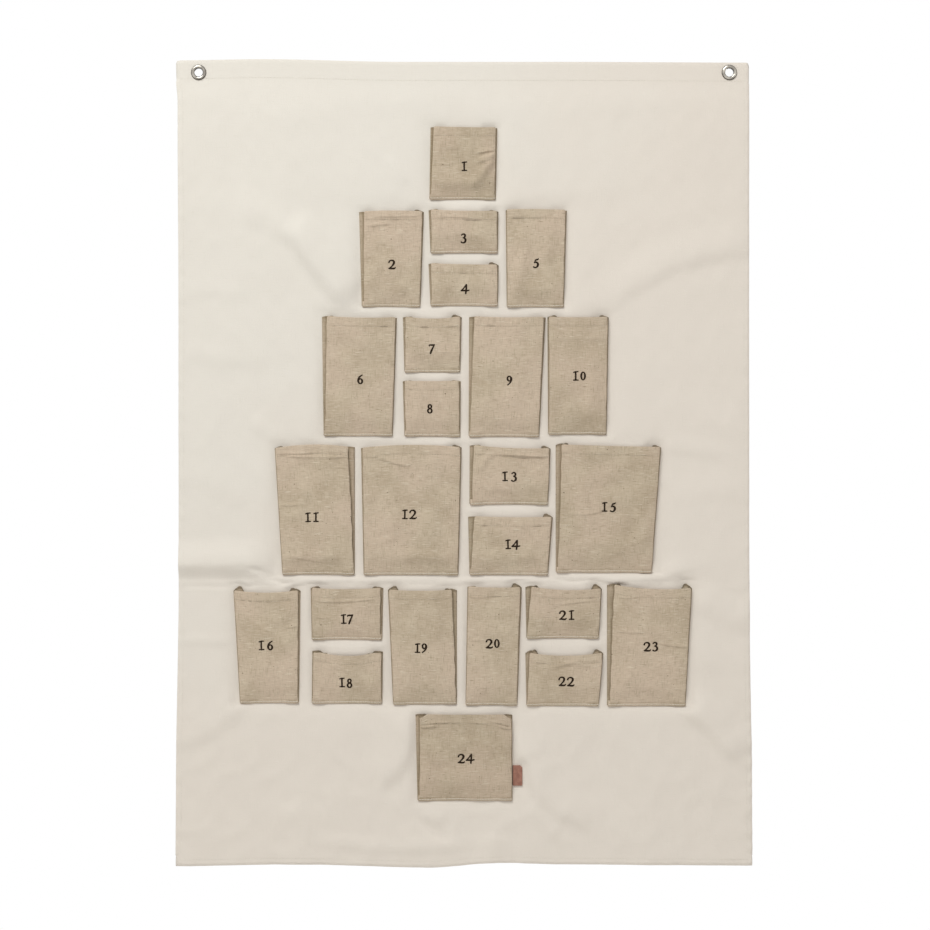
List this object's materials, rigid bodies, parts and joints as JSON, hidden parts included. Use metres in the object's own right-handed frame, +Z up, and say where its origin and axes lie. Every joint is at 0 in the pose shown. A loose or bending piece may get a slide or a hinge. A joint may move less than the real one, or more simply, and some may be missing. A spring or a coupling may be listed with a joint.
{
  "type": "hanging advent calendar",
  "caption": "Hanging cloth advent calendar: canvas banner on two eyelets, with numbered pleated linen pockets sewn on in a tree shape.",
  "frame": {"origin": "on the wall plane, midway between the centres of the two eyelets", "axes": "+Z up the banner, +Y into the wall, +X to the right as seen from the front"},
  "size_m": [0.6, 0.011, 0.8413],
  "materials": {
    "canvas": "plain-woven cream cotton canvas",
    "linen": "natural linen with slubs",
    "nickel": "nickel plated, polished",
    "leather": "smooth, slightly worn"
  },
  "bodies": {
    "banner": {"backing_panel": "canvas", "left_eyelet": "nickel", "left_eyelet_washer": "nickel", "right_eyelet": "nickel", "right_eyelet_washer": "nickel", "pocket_01_pleats": "linen", "pocket_02_pleats": "linen", "pocket_03_pleats": "linen", "pocket_04_pleats": "linen", "pocket_05_pleats": "linen", "pocket_06_pleats": "linen", "pocket_07_pleats": "linen", "pocket_08_pleats": "linen", "pocket_09_pleats": "linen", "pocket_10_pleats": "linen", "pocket_11_pleats": "linen", "pocket_12_pleats": "linen", "pocket_13_pleats": "linen", "pocket_14_pleats": "linen", "pocket_15_pleats": "linen", "pocket_16_pleats": "linen", "pocket_17_pleats": "linen", "pocket_18_pleats": "linen", "pocket_19_pleats": "linen", "pocket_20_pleats": "linen", "pocket_21_pleats": "linen", "pocket_22_pleats": "linen", "pocket_23_pleats": "linen", "pocket_24_pleats": "linen"},
    "pocket_01": {"pocket_01_front": "linen"},
    "pocket_02": {"pocket_02_front": "linen"},
    "pocket_03": {"pocket_03_front": "linen"},
    "pocket_04": {"pocket_04_front": "linen"},
    "pocket_05": {"pocket_05_front": "linen"},
    "pocket_06": {"pocket_06_front": "linen"},
    "pocket_07": {"pocket_07_front": "linen"},
    "pocket_08": {"pocket_08_front": "linen"},
    "pocket_09": {"pocket_09_front": "linen"},
    "pocket_10": {"pocket_10_front": "linen"},
    "pocket_11": {"pocket_11_front": "linen"},
    "pocket_12": {"pocket_12_front": "linen"},
    "pocket_13": {"pocket_13_front": "linen"},
    "pocket_14": {"pocket_14_front": "linen"},
    "pocket_15": {"pocket_15_front": "linen"},
    "pocket_16": {"pocket_16_front": "linen"},
    "pocket_17": {"pocket_17_front": "linen"},
    "pocket_18": {"pocket_18_front": "linen"},
    "pocket_19": {"pocket_19_front": "linen"},
    "pocket_20": {"pocket_20_front": "linen"},
    "pocket_21": {"pocket_21_front": "linen"},
    "pocket_22": {"pocket_22_front": "linen"},
    "pocket_23": {"pocket_23_front": "linen"},
    "pocket_24": {"pocket_24_front": "linen"},
    "tag": {"leather_tag": "leather"}
  },
  "joints": [
    {"name": "pocket_01_opens", "type": "hinge", "parent": "banner", "child": "pocket_01", "pos_m": [-0.00146, -0.0041, -0.1325], "axis": [1, 0, 0], "range_deg": [0, 14.2], "stiffness_Nm_per_rad": 0.001176, "springref_deg": -3.44, "deforming": ["pocket_01_pleats"]},
    {"name": "pocket_02_opens", "type": "hinge", "parent": "banner", "child": "pocket_02", "pos_m": [-0.07596, -0.0041, -0.244], "axis": [1, 0, 0], "range_deg": [0, 10.7], "stiffness_Nm_per_rad": 0.001836, "springref_deg": -3.44, "deforming": ["pocket_02_pleats"]},
    {"name": "pocket_03_opens", "type": "hinge", "parent": "banner", "child": "pocket_03", "pos_m": [0.00019, -0.0041, -0.18817], "axis": [1, 0, 0], "range_deg": [0, 24.6], "stiffness_Nm_per_rad": 0.000452, "springref_deg": -3.44, "deforming": ["pocket_03_pleats"]},
    {"name": "pocket_04_opens", "type": "hinge", "parent": "banner", "child": "pocket_04", "pos_m": [0.00019, -0.0041, -0.24308], "axis": [1, 0, 0], "range_deg": [0, 25.2], "stiffness_Nm_per_rad": 0.000437, "springref_deg": -3.44, "deforming": ["pocket_04_pleats"]},
    {"name": "pocket_05_opens", "type": "hinge", "parent": "banner", "child": "pocket_05", "pos_m": [0.07423, -0.0041, -0.24435], "axis": [1, 0, 0], "range_deg": [0, 10.5], "stiffness_Nm_per_rad": 0.00183, "springref_deg": -3.44, "deforming": ["pocket_05_pleats"]},
    {"name": "pocket_06_opens", "type": "hinge", "parent": "banner", "child": "pocket_06", "pos_m": [-0.11015, -0.0041, -0.37845], "axis": [1, 0, 0], "range_deg": [0, 8.6], "stiffness_Nm_per_rad": 0.003289, "springref_deg": -3.44, "deforming": ["pocket_06_pleats"]},
    {"name": "pocket_07_opens", "type": "hinge", "parent": "banner", "child": "pocket_07", "pos_m": [-0.03296, -0.0041, -0.31216], "axis": [1, 0, 0], "range_deg": [0, 18.7], "stiffness_Nm_per_rad": 0.000614, "springref_deg": -3.44, "deforming": ["pocket_07_pleats"]},
    {"name": "pocket_08_opens", "type": "hinge", "parent": "banner", "child": "pocket_08", "pos_m": [-0.03296, -0.0041, -0.37879], "axis": [1, 0, 0], "range_deg": [0, 18.7], "stiffness_Nm_per_rad": 0.000609, "springref_deg": -3.44, "deforming": ["pocket_08_pleats"]},
    {"name": "pocket_09_opens", "type": "hinge", "parent": "banner", "child": "pocket_09", "pos_m": [0.0416, -0.0041, -0.37926], "axis": [1, 0, 0], "range_deg": [0, 8.5], "stiffness_Nm_per_rad": 0.0034, "springref_deg": -3.44, "deforming": ["pocket_09_pleats"]},
    {"name": "pocket_10_opens", "type": "hinge", "parent": "banner", "child": "pocket_10", "pos_m": [0.118, -0.0041, -0.37695], "axis": [1, 0, 0], "range_deg": [0, 8.7], "stiffness_Nm_per_rad": 0.002671, "springref_deg": -3.44, "deforming": ["pocket_10_pleats"]},
    {"name": "pocket_11_opens", "type": "hinge", "parent": "banner", "child": "pocket_11", "pos_m": [-0.15145, -0.0041, -0.52278], "axis": [1, 0, 0], "range_deg": [0, 8], "stiffness_Nm_per_rad": 0.003802, "springref_deg": -3.44, "deforming": ["pocket_11_pleats"]},
    {"name": "pocket_12_opens", "type": "hinge", "parent": "banner", "child": "pocket_12", "pos_m": [-0.05515, -0.0041, -0.52324], "axis": [1, 0, 0], "range_deg": [0, 8], "stiffness_Nm_per_rad": 0.005098, "springref_deg": -3.44, "deforming": ["pocket_12_pleats"]},
    {"name": "pocket_13_opens", "type": "hinge", "parent": "banner", "child": "pocket_13", "pos_m": [0.04663, -0.0041, -0.44982], "axis": [1, 0, 0], "range_deg": [0, 17.9], "stiffness_Nm_per_rad": 0.00092, "springref_deg": -3.44, "deforming": ["pocket_13_pleats"]},
    {"name": "pocket_14_opens", "type": "hinge", "parent": "banner", "child": "pocket_14", "pos_m": [0.04663, -0.0041, -0.52324], "axis": [1, 0, 0], "range_deg": [0, 17.7], "stiffness_Nm_per_rad": 0.000963, "springref_deg": -3.44, "deforming": ["pocket_14_pleats"]},
    {"name": "pocket_15_opens", "type": "hinge", "parent": "banner", "child": "pocket_15", "pos_m": [0.1456, -0.0041, -0.52071], "axis": [1, 0, 0], "range_deg": [0, 8], "stiffness_Nm_per_rad": 0.005069, "springref_deg": -3.44, "deforming": ["pocket_15_pleats"]},
    {"name": "pocket_16_opens", "type": "hinge", "parent": "banner", "child": "pocket_16", "pos_m": [-0.2026, -0.0041, -0.65658], "axis": [1, 0, 0], "range_deg": [0, 9], "stiffness_Nm_per_rad": 0.00259, "springref_deg": -3.44, "deforming": ["pocket_16_pleats"]},
    {"name": "pocket_17_opens", "type": "hinge", "parent": "banner", "child": "pocket_17", "pos_m": [-0.12181, -0.0041, -0.59058], "axis": [1, 0, 0], "range_deg": [0, 20], "stiffness_Nm_per_rad": 0.00068, "springref_deg": -3.44, "deforming": ["pocket_17_pleats"]},
    {"name": "pocket_18_opens", "type": "hinge", "parent": "banner", "child": "pocket_18", "pos_m": [-0.12181, -0.0041, -0.65704], "axis": [1, 0, 0], "range_deg": [0, 19.7], "stiffness_Nm_per_rad": 0.000686, "springref_deg": -3.44, "deforming": ["pocket_18_pleats"]},
    {"name": "pocket_19_opens", "type": "hinge", "parent": "banner", "child": "pocket_19", "pos_m": [-0.04062, -0.0041, -0.65797], "axis": [1, 0, 0], "range_deg": [0, 8.9], "stiffness_Nm_per_rad": 0.002725, "springref_deg": -3.44, "deforming": ["pocket_19_pleats"]},
    {"name": "pocket_20_opens", "type": "hinge", "parent": "banner", "child": "pocket_20", "pos_m": [0.02858, -0.0041, -0.65877], "axis": [1, 0, 0], "range_deg": [0, 8.6], "stiffness_Nm_per_rad": 0.002401, "springref_deg": -3.44, "deforming": ["pocket_20_pleats"]},
    {"name": "pocket_21_opens", "type": "hinge", "parent": "banner", "child": "pocket_21", "pos_m": [0.10274, -0.0041, -0.58925], "axis": [1, 0, 0], "range_deg": [0, 20.4], "stiffness_Nm_per_rad": 0.000678, "springref_deg": -3.44, "deforming": ["pocket_21_pleats"]},
    {"name": "pocket_22_opens", "type": "hinge", "parent": "banner", "child": "pocket_22", "pos_m": [0.10274, -0.0041, -0.65934], "axis": [1, 0, 0], "range_deg": [0, 19.6], "stiffness_Nm_per_rad": 0.000738, "springref_deg": -3.44, "deforming": ["pocket_22_pleats"]},
    {"name": "pocket_23_opens", "type": "hinge", "parent": "banner", "child": "pocket_23", "pos_m": [0.18979, -0.0041, -0.65958], "axis": [1, 0, 0], "range_deg": [0, 8.5], "stiffness_Nm_per_rad": 0.003647, "springref_deg": -3.44, "deforming": ["pocket_23_pleats"]},
    {"name": "pocket_24_opens", "type": "hinge", "parent": "banner", "child": "pocket_24", "pos_m": [0.00104, -0.0041, -0.75833], "axis": [1, 0, 0], "range_deg": [0, 11.8], "stiffness_Nm_per_rad": 0.002373, "springref_deg": -3.44, "deforming": ["pocket_24_pleats"]},
    {"name": "tag_bends", "type": "hinge", "parent": "banner", "child": "tag", "pos_m": [0.05074, -0.0038, -0.73213], "axis": [0, 0, -1], "range_deg": [0, 70], "stiffness_Nm_per_rad": 0.00010273, "springref_deg": -3.44}
  ]
}
